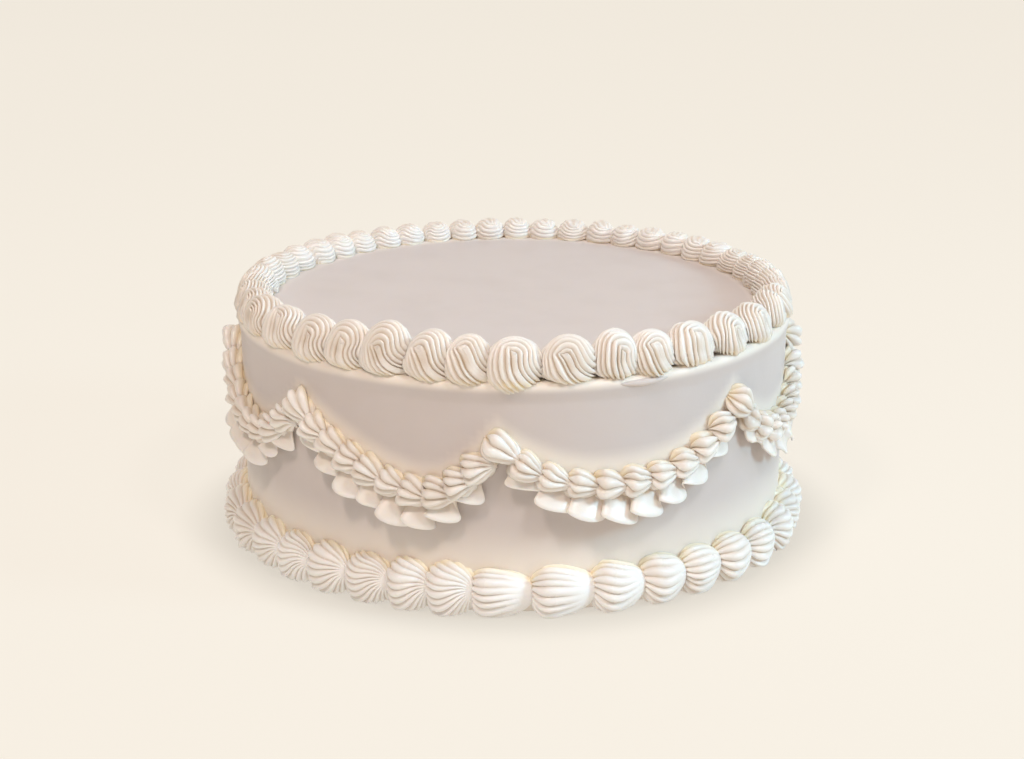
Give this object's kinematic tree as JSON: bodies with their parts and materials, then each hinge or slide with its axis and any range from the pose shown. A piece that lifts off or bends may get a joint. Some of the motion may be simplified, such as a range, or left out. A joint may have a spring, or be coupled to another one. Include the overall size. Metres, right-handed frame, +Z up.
{
  "type": "piped buttercream cake",
  "caption": "Round iced cake with a swirl border on its rim, a shell border at its foot and piped garland swags over a ruffle round its wall.",
  "frame": {"origin": "centre of the cake's flat underside", "axes": "+Z up along the cake's axis, -Y towards the side that the picture shows"},
  "size_m": [0.2505, 0.2501, 0.1129],
  "materials": {
    "smooth_icing": "smooth, satin buttercream",
    "border_icing": "piped buttercream with fine ribs",
    "garland_icing": "piped buttercream with broad ribs",
    "ruffle_icing": "thin, smooth piped buttercream"
  },
  "bodies": {
    "root": {"cake": "smooth_icing", "top_border": "border_icing", "base_border": "border_icing", "swag_1": "garland_icing", "swag_2": "garland_icing", "swag_3": "garland_icing", "swag_4": "garland_icing", "swag_5": "garland_icing", "swag_6": "garland_icing", "swag_7": "garland_icing", "swag_8": "garland_icing", "ruffle_1": "ruffle_icing", "ruffle_2": "ruffle_icing", "ruffle_3": "ruffle_icing", "ruffle_4": "ruffle_icing", "ruffle_5": "ruffle_icing", "ruffle_6": "ruffle_icing", "ruffle_7": "ruffle_icing", "ruffle_8": "ruffle_icing"}
  },
  "joints": []
}
